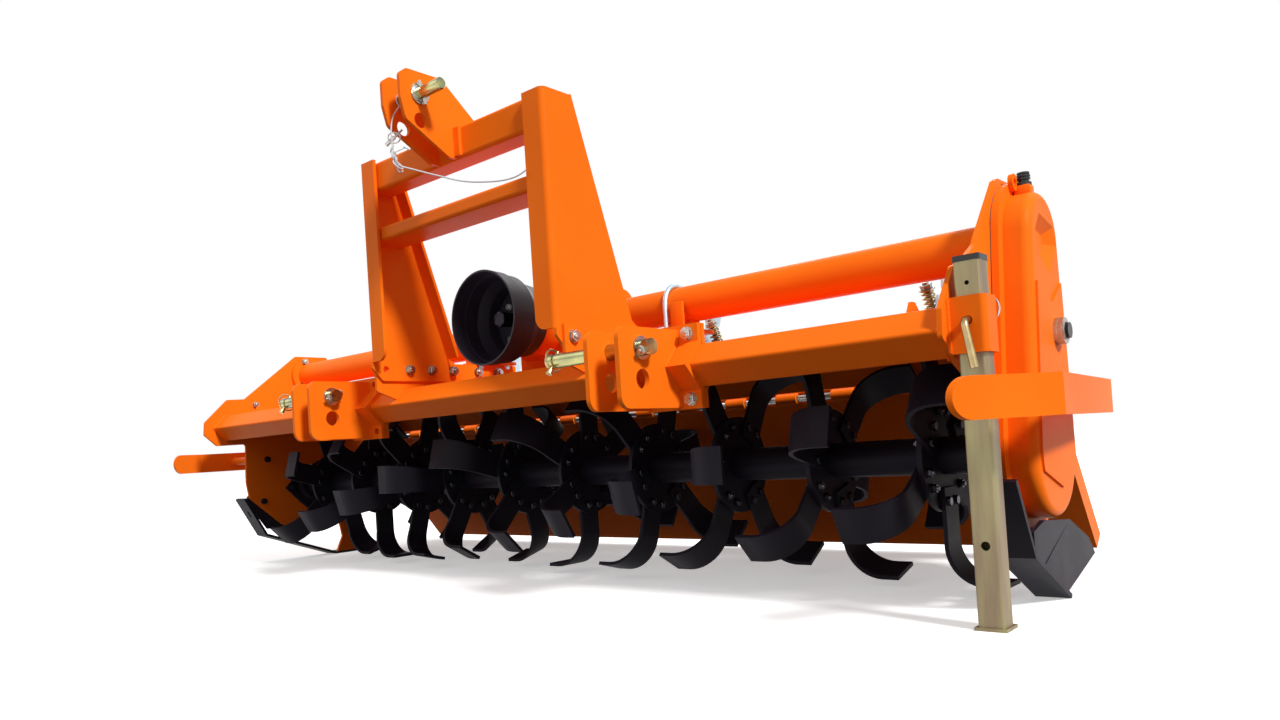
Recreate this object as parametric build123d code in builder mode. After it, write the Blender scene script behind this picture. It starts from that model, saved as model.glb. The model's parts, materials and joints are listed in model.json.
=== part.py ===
"""Rotary tiller for a tractor's three-point linkage, driven through a side gear case.

Frame: X runs along the rotor, from the plain side (-X) to the gear side (+X); -Y is the front,
where the tractor is; +Z is up. The origin is on the floor, in the middle of the machine's width
and length. The pieces are drawn with Y measured from the rotor's axis, and save() moves each of
them to the origin. All sizes are millimetres.
"""

import os
from math import cos, floor, hypot, radians, sin, sqrt

from build123d import *

# ---------------------------------------------------------------- driving dimensions
inner_width = 2340  # between the inner faces of the side plates
plate_t = 8  # side plates
rotor_z = 255  # rotor axis above the floor
fit = 0.5  # running clearance on a radius, at pins and shafts

# tined reel
tine_wheels = 10
first_wheel_gap = 195  # from the plain side plate to the first disc
last_wheel_gap = 135  # from the last disc to the gear side plate
reel_tube_r = 35
disc_r = 104
disc_t = 10
tines_per_wheel = 6
tip_r = 240  # tine tips from the rotor axis
tine_t = 8
tine_w = 60  # shank
tine_tip_w = 76
tine_sweep = 8  # of the tip's middle, behind the shank's
tine_reach = 115  # sideways from the disc's middle
tine_bend_r = 78
tine_root_r = 58  # inner end of the shank
hub_r = 52
hub_gap = 6  # between a hub and its bearing housing
reel_end_gap = 50  # from each end of the tube to its side plate
bearing_shape = [(-93, -10), (-62, 22), (-23, 47), (40, 78), (88, 30), (72, -60), (-6, -92), (-48, -55)]
bearing_t = 14
first_wheel_turn = 15  # degrees
wheel_lead = -15  # turn from one wheel to the next, degrees

# front beam: square tube standing on its corner
beam_s = 60
beam_wall = 6
beam_y = -285
beam_z = 452

# axle tubes and central gearbox
axle_y = 15
axle_z = 625
axle_r = 41.5
gear_flange_r = 78
plain_flange_r = 62
axle_flange_t = 14
hitch_x = 116  # middle of the hitch, offset towards the gear side
gearbox_x = 190
gearbox_y = 240
gearbox_z = 170
foot_past = 20  # gearbox foot past the box at each end
foot_h = 80
shaft_r = 17.5  # 1 3/8 inch power take-off stub
shaft_body_r = 22  # behind the splines
shaft_front = -246  # front end of the stub
splines = 6
spline_len = 76
spline_gap = 4.2  # width of a groove
spline_depth = 2.7
shield_t = 4
shield_front = -298
shield_line = [(0, 109), (36, 107), (36, 104), (70, 102), (96, 89), (128, 85)]  # behind its front, radius
boss_r = 78  # of the gearbox, behind the shield
boss_bore = 60
shaft_in_boss = 40

# A-frame
frame_half = 319  # from the hitch's middle to the outside of an upright
upright_t = 8
upright_front = -385
upright_over_rail = 3
upright_foot = 510  # lower edge of the web
upright_top_depth = 78
upright_foot_depth = 232
upright_lip = 58  # width of the front lip
rear_lip = 46
lip_corner = 26  # at the front lip's lower inner corner
lip_foot = 555  # lower end of the front lip
lip_bend_r = 13
rail_front = -372
top_rail_h = 70
top_rail_d = 64
rail_drop = 122  # foot of the low rail under the top rail's
low_rail_h = 34
low_rail_d = 96
rail_wall = 4
mount_t = 8  # plates welded on the beam and the hood, outside the uprights
bolt_z = 538  # row of bolts through uprights and mount plates
bolt_pitch = 70
bolt_first = -347
bolt_r = 8.5
mount_head = [(14, 26), (190, 70), (236, 36), (262, 20)]  # from the uprights' front and the bolt row
mount_tail_bolts = (-46, 26)
mount_tail_past = 69  # of the plate, behind its last bolt
mount_beam_in = 30
mount_foot_drop = 10

# top link
lug_t = 9
lug_gap = 52  # between the lugs
mast_height = 603  # top link pin above the lower link pins
pin_over_rail = 51
top_pin_y = -466
top_pin_r = 12.7
top_hole_drop = 57  # lower hole under the upper one
top_hole_r = 16.2  # lower hole, for the thicker pin of the next hitch category
top_pin_free = 76  # past the lug on the gear side
top_pin_tail = 14  # past the other lug
lug_foot_lip = 18
lug_head = [(-38, -60), (-49, -18), (-49, 35), (-31, 48), (62, 48)]  # about the pin
lug_corner = 14  # at the six front corners
lug_foot_out = 21  # in front of the top rail
lug_rear_over = 20

# lower links
link_half = 507  # from the hitch's middle to the middle of a clevis
ear_t = 10
ear_gap = 64
ear_front = -470
ear_top = 523
ear_foot = 376
ear_corner = 22
link_pin_r = 14.1  # free end
link_shank_r = 15  # in the clevis
link_shoulder = 4  # shank past the ear, at the free end
link_pin_y = -408
link_pin_z = 485
link_hole_drop = 56
link_hole_r = 18.5  # lower hole, for the thicker pin of the next hitch category
link_pin_head = 26
link_pin_free = 150  # free end of a lower link pin, past its ear
clamp_t = 10
clamp_lip = 37
clamp_gap = 2  # between the lips of the front and back clamp plates
clamp_past = 46  # clamp plate past the ear on the gear side
clamp_bolt_r = 8.5

# hood and tailboard
hood_r = 264  # inside, about the rotor axis
sheet_t = 4
hood_rear_angle = 36  # above level, where the hood ends at the back
hood_front_angle = 116  # where its straight front sheet begins
seat = 16  # how far down the beam's rear face the front sheet meets it
hinge_y = 240
hinge_z = 397
hinge_r = 8
board_len = 478
board_slope = 51.8  # below level
board_gap = 14  # between the tailboard and each side plate
board_flange = 42
knuckle_len = 55
knuckle_pitch = 145
knuckle_over = 5  # wall round the hinge rod
lug_along = 150  # rod lugs down the tailboard
lug_out = 45
rod_pivot_r = 8
inner_rod_x = 395
outer_rod_in = 225  # from a side plate to the outer rods
rod_r = 7
rod_eye_w = 20
trunnion_y = 262
trunnion_z = 505
rod_over = 124  # rod's end above the bracket
spring_r = 15
spring_len = 100
spring_foot = 6  # of the spring above the bracket
bracket_t = 6
bracket_w = 54
bracket_d = 60
cheek_in = 24  # from a rod to its bracket's cheek
bracket_slot = 44
cheek_shape = [  # about the seat of the spring
    (-112, -70),
    (-70, 55),
    (-66, 77),
    (-34, 93),
    (-34, 135),
    (36, 135),
    (2, 60),
    (34, 10),
    (20, -22),
    (-40, -100),
]

# gear case
case_r = 115  # round the rotor axis
case_top_r = 81  # round the input axis
case_flange = 22
case_flange_t = 12
gasket_t = 2
case_depth = 56  # of the cover, from its flange
case_wall = 8
case_round = 16
pad_in = 20  # raised pad of the cover, inside its outline
pad_rise = 4
pad_shape = [(-120, 570), (16, 511), (120, 575), (120, 228), (10, 192), (-120, 236)]
recess_shape = [(-10, 664), (68, 650), (82, 617), (25, 561), (-35, 598), (-36, 636)]
recess_depth = 13
recess_slope = 0.45  # size of its floor against its mouth
filler_in = 16  # from the flange's face to the filler's middle
filler_neck_r = 14
filler_neck_h = 14
filler_cap_r = 12
filler_cap_h = 24
level_plug_y = 30
level_plug_z = 461
level_plug_r = 24
level_plug_t = 6
level_plug_hex = 19
level_plug_head = 11

# parking leg and its sleeve
leg_s = 40
leg_wall = 4
leg_out = 29  # leg's middle from the gear side plate
leg_y = -275
leg_top = 555
leg_foot_t = 5
cap_t = 9
leg_foot_s = 48
leg_top_hole_r = 3.5
leg_top_hole_drop = 33
sleeve_wall = 6
sleeve_foot = 416
sleeve_h = 86
sleeve_gap = 1
sleeve_round = 9
leg_pin_r = 6.5
leg_pin_z = 465
leg_travel = 338  # between the pin's two holes in the leg

# guard bars
guard_z = 345
guard_h = 60
guard_t = 8
guard_out = 155  # outside of the bar from the side plate, at its bend
guard_front_plain = -415
guard_front_gear = -472
guard_bend = -302
guard_rear = 165
guard_front_slope = 0.547  # how fast the bar comes in towards each end
guard_rear_slope = 0.094
stub_r = 13
stub_front_y = -190
stub_rear_y = 150

# skids
skid_w = 60
skid_t = 8
skid_toe = (-235, 218)
skid_knee = (-165, 92)
plain_skid_line = [skid_toe, skid_knee, (92, 0), (312, 0)]  # underside
gear_skid_line = [skid_toe, skid_knee, (14, 0)]
skid_web_plain = [(-229, 214), (-195, 262), (-130, 262), (-82, 150), (-82, 118), (-159, 114)]
skid_web_gear = [
    (-229, 214),
    (-195, 262),
    (-146, 262),
    (-146, 240),
    (-133, 190),
    (-111, 160),
    (-98, 147),
    (-98, 118),
    (-159, 114),
]
skid_tie = [(-122, 118), (-122, 134), (-100, 134), (-100, 118)]
toe_slot_from = 26  # from the side plate to the middle of the slot in the toe
toe_slot_w = 9
toe_slot_z = (156, 178)
strut_outline = [(98, 8), (168, 8), (150, 60), (165, 112), (165, 200), (110, 200), (112, 112), (122, 60)]
strut_t = 10
# guard under the gear case: two faces that lean in from the skid's edge to a common crest
shoe_crest = (56, 132)
shoe_in = 6
shoe_upper = [(-166, 97), (-166, 134), (-101, 146), shoe_crest, (-124, 74)]
shoe_lower = [(-124, 74), (-6, 14), (206, 54), (172, 87), shoe_crest]

# side plates, as offsets: about the beam, the axle tube, the hood's hinge and the rotor
plain_side_front = [(-72, -20), (-68, 20), (9, 92), (68, 94)]
plain_side_under = [(63, -54), (-33, -56)]
plain_side_head = [(-41, 67), (76, 67)]
gear_side_front = [(-44, -10), (-40, 34), (20, 104), (52, 112)]
gear_side_under = [(63, -72), (10, -48)]
gear_side_head = [(-177, -23), (-165, -8), (-60, 102), (-43, 109), (40, 111)]
side_rear = [(48, 30), (48, -147)]
side_foot = [(200, -105), (60, -147), (-70, -147), (-111, -130), (-219, -34), (-227, 17)]
side_round = 8
hub_clear = 12  # hole for a bearing housing, round its hub

half = inner_width / 2
outer = half + plate_t
first_wheel_x = -half + first_wheel_gap
wheel_pitch = (inner_width - first_wheel_gap - last_wheel_gap) / (tine_wheels - 1)
reel_half = half - reel_end_gap
outer_rod_x = half - outer_rod_in
rod_x = (-outer_rod_x, -inner_rod_x, inner_rod_x, outer_rod_x)
top_pin_z = link_pin_z + mast_height
rail_top = top_pin_z - pin_over_rail
top_rail_z = rail_top - top_rail_h
low_rail_z = top_rail_z - rail_drop
upright_top = rail_top + upright_over_rail
front_end = top_pin_y + lug_head[1][0]
slope = radians(board_slope)
rear_end = hinge_y + board_len * cos(slope) + board_flange * sin(slope)
length_middle = (front_end + rear_end) / 2
shield_back = shield_front + shield_line[-1][0]
os.makedirs("parts", exist_ok=True)


def save(part, label):
    """Moves a finished piece to the origin, labels it and writes its STEP file."""
    placed = part.moved(Location((0, -length_middle, 0)))
    placed.label = label
    export_step(placed, f"parts/{label}.step")


def strip(line, t):
    """The outline of a bent strip, t thick, on the left of a line of points."""
    shifted = []
    for i, (y, z) in enumerate(line):
        ways = []
        for a, b in ((i - 1, i), (i, i + 1)):
            if a >= 0 and b < len(line):
                dy, dz = line[b][0] - line[a][0], line[b][1] - line[a][1]
                ways.append((-dz / hypot(dy, dz), dy / hypot(dy, dz)))
        ny, nz = sum(w[0] for w in ways), sum(w[1] for w in ways)
        reach = t * len(ways) / (ny * ny + nz * nz) if len(ways) == 1 else 2 * t / (ny * ny + nz * nz)
        shifted.append((y + ny * reach, z + nz * reach))
    return list(line) + shifted[::-1]


def plate(outline, x, t, corner=0.0):
    """A flat plate standing between x and x + t, with its corners rounded."""
    with BuildPart() as made:
        with BuildSketch(Plane.YZ.offset(x)):
            with BuildLine():
                Polyline(*outline, close=True)
            make_face()
            if corner:
                fillet(vertices(), corner)
        extrude(amount=t)
    return made.part


def about(centre, shape):
    """The points of a shape given as offsets from a centre."""
    return [(centre[0] + y, centre[1] + z) for y, z in shape]


def drill(part, places, r, x, depth):
    """The part with round holes along X at the places (y, z)."""
    with BuildPart() as made:
        add(part)
        with BuildSketch(Plane.YZ.offset(x)):
            with Locations(*places):
                Circle(r)
        extrude(amount=depth, mode=Mode.SUBTRACT)
    return made.part


# ---------------------------------------------------------------- front beam
with BuildPart() as front_beam:
    with BuildSketch(Plane.YZ.offset(-half)):
        with Locations((beam_y, beam_z)):
            RectangleRounded(beam_s, beam_s, beam_wall, rotation=45)
            beam_inside = beam_s - 2 * beam_wall
            RectangleRounded(beam_inside, beam_inside, 2, rotation=45, mode=Mode.SUBTRACT)
    extrude(amount=inner_width)
save(front_beam.part, "front_beam")
beam_nose = beam_s / sqrt(2)

# ---------------------------------------------------------------- side plates
beam_at = (beam_y, beam_z)
axle_at = (axle_y, axle_z)
hinge_at = (hinge_y, hinge_z)
rotor_at = (0, rotor_z)
side_back = about(hinge_at, side_rear) + about(rotor_at, side_foot)
plain_outline = [
    *about(beam_at, plain_side_front),
    *about(axle_at, plain_side_head),
    *side_back,
    *about(beam_at, plain_side_under),
]
gear_outline = [
    *about(beam_at, gear_side_front),
    *about(axle_at, gear_side_head),
    *side_back,
    *about(beam_at, gear_side_under),
]
plain_side = plate(plain_outline, -outer, plate_t, side_round)
save(drill(plain_side, [rotor_at], hub_r + hub_clear, -outer, plate_t), "side_plate_plain")
gear_side = plate(gear_outline, half, plate_t, side_round)
save(drill(gear_side, [rotor_at], hub_r + hub_clear, half, plate_t), "side_plate_gear")

# ---------------------------------------------------------------- gearbox, axle tubes
with BuildPart() as gearbox:
    with BuildSketch(Plane.YZ.offset(hitch_x - gearbox_x / 2)):
        with Locations((axle_y, axle_z)):
            RectangleRounded(gearbox_y, gearbox_z, 40)
    extrude(amount=gearbox_x)
    with BuildSketch(Plane.XZ.offset(-(axle_y - gearbox_y / 2))):
        with Locations((hitch_x, axle_z)):
            Circle(boss_r)
    extrude(amount=(axle_y - gearbox_y / 2) - shield_back)
    with BuildSketch(Plane.XZ.offset(-shield_back)):
        with Locations((hitch_x, axle_z)):
            Circle(shaft_body_r + fit)
    extrude(amount=-boss_bore, mode=Mode.SUBTRACT)
    # foot, hollowed to sit on the hood
    with BuildSketch(Plane.YZ.offset(hitch_x - gearbox_x / 2 - foot_past)):
        with Locations((axle_y, axle_z - gearbox_z / 2 + 20)):
            Rectangle(gearbox_y - 60, foot_h, align=(Align.CENTER, Align.MAX))
        with Locations((0, rotor_z)):
            Circle(hood_r + sheet_t, mode=Mode.SUBTRACT)
    extrude(amount=gearbox_x + 2 * foot_past)
save(gearbox.part, "gearbox")


def axle_tube(x_in, x_out, flange_r):
    """A round tube from the gearbox to a side plate, with a bolting flange at each end."""
    low, high = min(x_in, x_out), max(x_in, x_out)
    with BuildPart() as tube:
        with BuildSketch(Plane.YZ.offset(low)):
            with Locations((axle_y, axle_z)):
                Circle(axle_r)
        extrude(amount=high - low)
        for x in (low, high - axle_flange_t):
            with BuildSketch(Plane.YZ.offset(x)):
                with Locations((axle_y, axle_z)):
                    Circle(flange_r if abs(x) > half - 200 else axle_r + 22)
            extrude(amount=axle_flange_t)
        with BuildSketch(Plane.YZ.offset(low)):
            with Locations((axle_y, axle_z)):
                Circle(axle_r - 6)
        extrude(amount=high - low, mode=Mode.SUBTRACT)
    return tube.part


save(axle_tube(hitch_x - gearbox_x / 2, -half, plain_flange_r), "axle_tube_plain")
save(axle_tube(hitch_x + gearbox_x / 2, half, gear_flange_r), "axle_tube_gear")

# ---------------------------------------------------------------- power take-off shield and stub
shield_back_r = shield_line[-1][1]
shield_wall = [(r, shield_front + y) for y, r in shield_line]
shield_wall += [(r - shield_t, y) for r, y in shield_wall[::-1]]
with BuildPart() as pto_shield:
    with BuildSketch(Plane(origin=(hitch_x, 0, axle_z), x_dir=(1, 0, 0), z_dir=(0, 0, 1))):
        with BuildLine():
            Polyline(*shield_wall, close=True)
        make_face()
    revolve(axis=Axis((hitch_x, 0, axle_z), (0, 1, 0)))
    with BuildSketch(Plane.XZ.offset(-shield_back)):
        with Locations((hitch_x, axle_z)):
            Circle(shield_back_r - 1)
            Circle(shaft_body_r + 8, mode=Mode.SUBTRACT)
    extrude(amount=shield_t)
save(pto_shield.part, "pto_shield")

with BuildPart() as pto_shaft:
    with BuildSketch(Plane.XZ.offset(-shield_back - shaft_in_boss)):
        with Locations((hitch_x, axle_z)):
            Circle(shaft_body_r)
    extrude(amount=shield_back + shaft_in_boss - shaft_front - spline_len)
    with BuildSketch(Plane.XZ.offset(-shaft_front - spline_len)):
        with Locations((hitch_x, axle_z)):
            Circle(shaft_r)
            with PolarLocations(shaft_r, splines):
                Rectangle(2 * spline_depth, spline_gap, mode=Mode.SUBTRACT)
    extrude(amount=spline_len)
save(pto_shaft.part, "pto_shaft")

# ---------------------------------------------------------------- hood
hood_over = hood_r + sheet_t
bend_angle = radians(hood_front_angle)
hood_bend = (hood_over * cos(bend_angle), rotor_z + hood_over * sin(bend_angle))
hood_seat = (beam_y + seat, beam_z + beam_nose - seat)
with BuildPart() as hood:
    with BuildSketch(Plane.YZ.offset(-half)):
        with BuildLine():
            span = hood_front_angle - hood_rear_angle
            inside = CenterArc((0, rotor_z), hood_r, hood_rear_angle, span)
            outside = CenterArc((0, rotor_z), hood_over, hood_rear_angle, span)
            Line(inside @ 0, outside @ 0)
            Line(inside @ 1, outside @ 1)
        make_face()
        with BuildLine():
            Polyline(
                inside @ 1,
                outside @ 1,
                hood_seat,
                (hood_seat[0] + sheet_t, hood_seat[1] - sheet_t),
                close=True,
            )
        make_face()
    extrude(amount=inner_width)
    # room for the two lower-link clamps
    for side in (-1, 1):
        low_x = hitch_x + side * link_half - ear_gap / 2 - ear_t - 6
        with BuildSketch(Plane.XY.offset(beam_z)):
            with Locations((low_x, beam_y)):
                Rectangle(ear_gap + 2 * ear_t + clamp_past + 12, 84, align=(Align.MIN, Align.MIN))
        extrude(amount=beam_s, mode=Mode.SUBTRACT)
save(hood.part, "hood")

# ---------------------------------------------------------------- A-frame
rear_slope = [
    (upright_front + upright_top_depth, upright_top),
    (upright_front + upright_foot_depth, upright_foot + 60),
]
web_outline = [
    (upright_front, upright_top),
    rear_slope[0],
    rear_slope[1],
    (upright_front + upright_foot_depth + 4, upright_foot),
    (upright_front + 28, upright_foot),
    (upright_front, lip_foot - 15),
]
bolt_row = [(bolt_first + i * bolt_pitch, bolt_z) for i in range(4)]
mount_tail = mount_tail_bolts[-1] + mount_tail_past
for side, name in ((-1, "upright_plain"), (1, "upright_gear")):
    web_x = hitch_x + side * frame_half - (upright_t if side > 0 else 0)
    lip_x = hitch_x + side * frame_half - (upright_lip if side > 0 else 0)
    web = drill(plate(web_outline, web_x, upright_t, 6), bolt_row, bolt_r, web_x, upright_t)
    with BuildPart() as upright:
        add(web)
        with BuildSketch(Plane.XZ.offset(-upright_front)):
            with Locations((lip_x, (upright_top + lip_foot) / 2)):
                Rectangle(upright_lip, upright_top - lip_foot, align=(Align.MIN, Align.CENTER))
            fillet(vertices().sort_by(Axis.Y)[:2].sort_by(Axis.X)[0 if side > 0 else -1], lip_corner)
        extrude(amount=-upright_t)
        # bend between the web and the front lip
        with BuildSketch(Plane.XY.offset(lip_foot)):
            with Locations((hitch_x + side * frame_half, upright_front)):
                Rectangle(2 * lip_bend_r, 2 * lip_bend_r)
            with Locations((hitch_x + side * (frame_half - lip_bend_r), upright_front + lip_bend_r)):
                Circle(lip_bend_r, mode=Mode.SUBTRACT)
        extrude(amount=upright_top - lip_foot, mode=Mode.SUBTRACT)
        rear_x = hitch_x + side * frame_half - (rear_lip if side > 0 else 0)
        add(plate(strip(rear_slope, upright_t), rear_x, rear_lip))
    save(upright.part, name)
    mount_x = hitch_x + side * frame_half + (0 if side > 0 else -mount_t)
    mount_outline = [
        *about((upright_front, bolt_z), mount_head),
        (mount_tail, bolt_z + mount_head[-1][1]),
        (mount_tail, hood_bend[1]),
        hood_bend,
        hood_seat,
        (beam_y, beam_z + beam_nose),
        (beam_y - mount_beam_in, beam_z + beam_nose - mount_beam_in),
        (upright_front + mount_head[0][0], beam_z + beam_nose - mount_foot_drop),
    ]
    with BuildPart() as mount:
        add(plate(mount_outline, mount_x, mount_t, 4))
        with BuildSketch(Plane.YZ.offset(mount_x)):
            with Locations((0, rotor_z)):
                Circle(hood_over)
        extrude(amount=mount_t, mode=Mode.SUBTRACT)
    mount_bolts = bolt_row + [(y, bolt_z) for y in mount_tail_bolts]
    drilled = drill(mount.part, mount_bolts, bolt_r, mount_x, mount_t)
    save(drilled, name.replace("upright", "mount_plate"))

rail_long = 2 * (frame_half - upright_t)
rails = (("top_rail", top_rail_z, top_rail_h, top_rail_d), ("low_rail", low_rail_z, low_rail_h, low_rail_d))
for name, z, h, d in rails:
    with BuildPart() as rail:
        with BuildSketch(Plane.YZ.offset(hitch_x - rail_long / 2)):
            with Locations((rail_front + d / 2, z + h / 2)):
                RectangleRounded(d, h, 2 * rail_wall)
                RectangleRounded(d - 2 * rail_wall, h - 2 * rail_wall, rail_wall, mode=Mode.SUBTRACT)
        extrude(amount=rail_long)
    save(rail.part, name)

# ---------------------------------------------------------------- top link
lug_outline = [
    (rail_front, top_rail_z),
    (rail_front - lug_foot_out, top_rail_z),
    *about((top_pin_y, top_pin_z), lug_head),
    (rail_front + top_rail_d, rail_top + lug_rear_over),
    (rail_front + top_rail_d, rail_top),
    (rail_front, rail_top),
]
for side, name in ((-1, "top_link_lug_plain"), (1, "top_link_lug_gear")):
    lug_x = hitch_x + side * lug_gap / 2 - (0 if side > 0 else lug_t)
    lip_x = lug_x + (lug_t if side > 0 else -lug_foot_lip)
    with BuildPart() as lug:
        add(plate(lug_outline, lug_x, lug_t))
        fillet(edges().filter_by(Axis.X).sort_by(Axis.Y)[:6], lug_corner)
        with BuildSketch(Plane.YZ.offset(lug_x)):
            with Locations((top_pin_y, top_pin_z)):
                Circle(top_pin_r + fit)
            with Locations((top_pin_y, top_pin_z - top_hole_drop)):
                Circle(top_hole_r)
        extrude(amount=lug_t, mode=Mode.SUBTRACT)
        with BuildSketch(Plane.XZ.offset(-rail_front)):
            with Locations((lip_x + lug_foot_lip / 2, (top_rail_z + rail_top) / 2)):
                Rectangle(lug_foot_lip, top_rail_h - 8)
        extrude(amount=8)
    save(lug.part, name)

with BuildPart() as top_link_pin:
    pin_x = hitch_x - lug_gap / 2 - lug_t - top_pin_tail
    with BuildSketch(Plane.YZ.offset(pin_x)):
        with Locations((top_pin_y, top_pin_z)):
            Circle(top_pin_r)
    extrude(amount=top_pin_tail + 2 * lug_t + lug_gap + top_pin_free)
    chamfer(edges().sort_by(Axis.X)[-1], 2)
save(top_link_pin.part, "top_link_pin")

# ---------------------------------------------------------------- lower-link clevises, clamps and pins
half_gap = clamp_gap / 2
clamp_line = [
    (beam_y - half_gap, beam_z + beam_nose + clamp_lip),
    (beam_y - half_gap, beam_z + beam_nose - half_gap),
    (beam_y - beam_nose, beam_z),
    (beam_y - half_gap, beam_z - beam_nose + half_gap),
    (beam_y - half_gap, beam_z - beam_nose - clamp_lip),
]
front_clamp = strip(clamp_line[::-1], clamp_t)
front_face = front_clamp[len(clamp_line) :]
back_clamp = [(2 * beam_y - y, z) for y, z in front_clamp]
ear_outline = [(ear_front, ear_foot), (ear_front, ear_top)] + [
    (front_face[0][0], ear_top),
    *front_face[1:-1],
    (front_face[-1][0], ear_foot),
]


def ear_plate(x):
    """One ear of a clevis, rounded at its front corners."""
    with BuildPart() as ear:
        add(plate(ear_outline, x, ear_t))
        fillet(edges().filter_by(Axis.X).sort_by(Axis.Y)[:2], ear_corner)
    return ear.part


link_hole = (link_pin_y, link_pin_z - link_hole_drop)
lip_middle = clamp_lip / 2
clamp_bolts_z = (beam_z + beam_nose + lip_middle, beam_z - beam_nose - lip_middle)
for side, name in ((-1, "plain"), (1, "gear")):
    middle = hitch_x + side * link_half
    low_x = middle - ear_gap / 2 - ear_t
    clamp_wide = ear_gap + 2 * ear_t + clamp_past
    bolt_x = (middle, middle + ear_gap / 2 + ear_t + clamp_past / 2)
    pair = []
    for outline in (front_clamp, back_clamp):
        with BuildPart() as clamp:
            add(plate(outline, low_x, clamp_wide))
            with BuildSketch(Plane.XZ.offset(-(beam_y - clamp_t - half_gap))):
                with Locations(*[(x, z) for x in bolt_x for z in clamp_bolts_z]):
                    Circle(clamp_bolt_r)
            extrude(amount=-2 * (clamp_t + half_gap), mode=Mode.SUBTRACT)
        pair.append(clamp.part)
    ears = []
    for x in (low_x, middle + ear_gap / 2):
        ear = drill(ear_plate(x), [(link_pin_y, link_pin_z)], link_shank_r + fit, x, ear_t)
        ears.append(drill(ear, [link_hole], link_hole_r, x, ear_t))
    with BuildPart() as clevis:
        add([pair[0], *ears])
    save(clevis.part, f"clevis_{name}")
    save(pair[1], f"clamp_plate_{name}")
    with BuildPart() as pin:
        with BuildSketch(Plane.YZ.offset(low_x - link_shoulder)):
            with Locations((link_pin_y, link_pin_z)):
                Circle(link_shank_r)
        extrude(amount=link_shoulder + ear_gap + 2 * ear_t + link_pin_head)
        with BuildSketch(Plane.YZ.offset(low_x - link_shoulder)):
            with Locations((link_pin_y, link_pin_z)):
                Circle(link_pin_r)
        extrude(amount=link_shoulder - link_pin_free)
        chamfer(edges().sort_by(Axis.X)[0], 2)
    save(pin.part, f"lower_link_pin_{name}")

# ---------------------------------------------------------------- gear case
def case_sketch(grow):
    """The case's outline about its two shafts, grown by an offset."""
    with BuildSketch() as outline:
        with Locations((0, rotor_z)):
            Circle(case_r + grow)
        with Locations((axle_y, axle_z)):
            Circle(case_top_r + grow)
        make_hull()
    return outline.sketch


flange_x = outer + gasket_t
with BuildPart() as gasket:
    with BuildSketch(Plane.YZ.offset(outer)):
        add(case_sketch(case_flange - 1))
        add(case_sketch(-4), mode=Mode.SUBTRACT)
    extrude(amount=gasket_t)
save(gasket.part, "gear_case_gasket")
with BuildPart() as cover:
    with BuildSketch(Plane.YZ.offset(flange_x)):
        add(case_sketch(case_flange))
    extrude(amount=case_flange_t)
    with BuildSketch(Plane.YZ.offset(flange_x + case_flange_t)):
        add(case_sketch(0))
    extrude(amount=case_depth - case_flange_t)
    fillet(faces().sort_by(Axis.X)[-1].edges(), case_round)
    # raised middle of the outer face
    case_face = flange_x + case_depth
    with BuildSketch(Plane.YZ.offset(case_face)):
        with BuildLine():
            Polyline(*pad_shape, close=True)
        make_face()
        add(case_sketch(-pad_in), mode=Mode.INTERSECT)
    extrude(amount=pad_rise)
    # pressed-in recess near the top
    recess_y = sum(y for y, z in recess_shape) / len(recess_shape)
    recess_z = sum(z for y, z in recess_shape) / len(recess_shape)
    recess_floor = []
    for y, z in recess_shape:
        floor_y = recess_y + recess_slope * (y - recess_y)
        recess_floor.append((floor_y, recess_z + recess_slope * (z - recess_z)))
    for x, shape in ((case_face, recess_shape), (case_face - recess_depth, recess_floor)):
        with BuildSketch(Plane.YZ.offset(x)):
            with BuildLine():
                Polyline(*shape, close=True)
            make_face()
    loft(mode=Mode.SUBTRACT)
    with BuildSketch(Plane.YZ.offset(flange_x)):
        add(case_sketch(-case_wall))
    extrude(amount=case_depth - case_wall - recess_depth, mode=Mode.SUBTRACT)
save(cover.part, "gear_case_cover")

with BuildPart() as oil_filler:
    filler_foot = axle_z + case_top_r
    filler_x = flange_x + case_flange_t + filler_in
    with BuildSketch(Plane.XY.offset(filler_foot)):
        with Locations((filler_x, axle_y)):
            Circle(filler_neck_r)
    extrude(amount=filler_neck_h)
    with BuildSketch(Plane.XY.offset(filler_foot + filler_neck_h)):
        with Locations((filler_x, axle_y)):
            Circle(filler_cap_r)
    extrude(amount=filler_cap_h)
save(oil_filler.part, "oil_filler")

with BuildPart() as level_plug:
    with BuildSketch(Plane.YZ.offset(case_face + pad_rise)):
        with Locations((level_plug_y, level_plug_z)):
            Circle(level_plug_r)
    extrude(amount=level_plug_t)
    with BuildSketch(Plane.YZ.offset(case_face + pad_rise + level_plug_t)):
        with Locations((level_plug_y, level_plug_z)):
            RegularPolygon(level_plug_hex, 6)
    extrude(amount=level_plug_head)
save(level_plug.part, "level_plug")

# ---------------------------------------------------------------- parking leg
leg_x = outer + leg_out
sleeve_in = leg_s + 2 * sleeve_gap
sleeve_end = leg_x + sleeve_in / 2  # inside of the sleeve's outer wall
with BuildPart() as leg_sleeve:
    with BuildSketch(Plane.XY.offset(sleeve_foot)):
        with BuildLine():
            wide = sleeve_in / 2 + sleeve_wall
            far = sleeve_end + sleeve_wall
            near, back = leg_y - wide, leg_y + wide
            Polyline((outer, near), (far, near), (far, back), (outer, back), close=True)
        make_face()
        fillet(vertices().sort_by(Axis.X)[2:], sleeve_round)
        with Locations((outer, leg_y)):
            Rectangle(sleeve_end - outer, sleeve_in, align=(Align.MIN, Align.CENTER), mode=Mode.SUBTRACT)
    extrude(amount=sleeve_h)
    with BuildSketch(Plane.XZ.offset(-leg_y)):
        with Locations((leg_x, leg_pin_z)):
            Circle(leg_pin_r + fit)
    extrude(amount=leg_s, both=True, mode=Mode.SUBTRACT)
save(leg_sleeve.part, "leg_sleeve")

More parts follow.
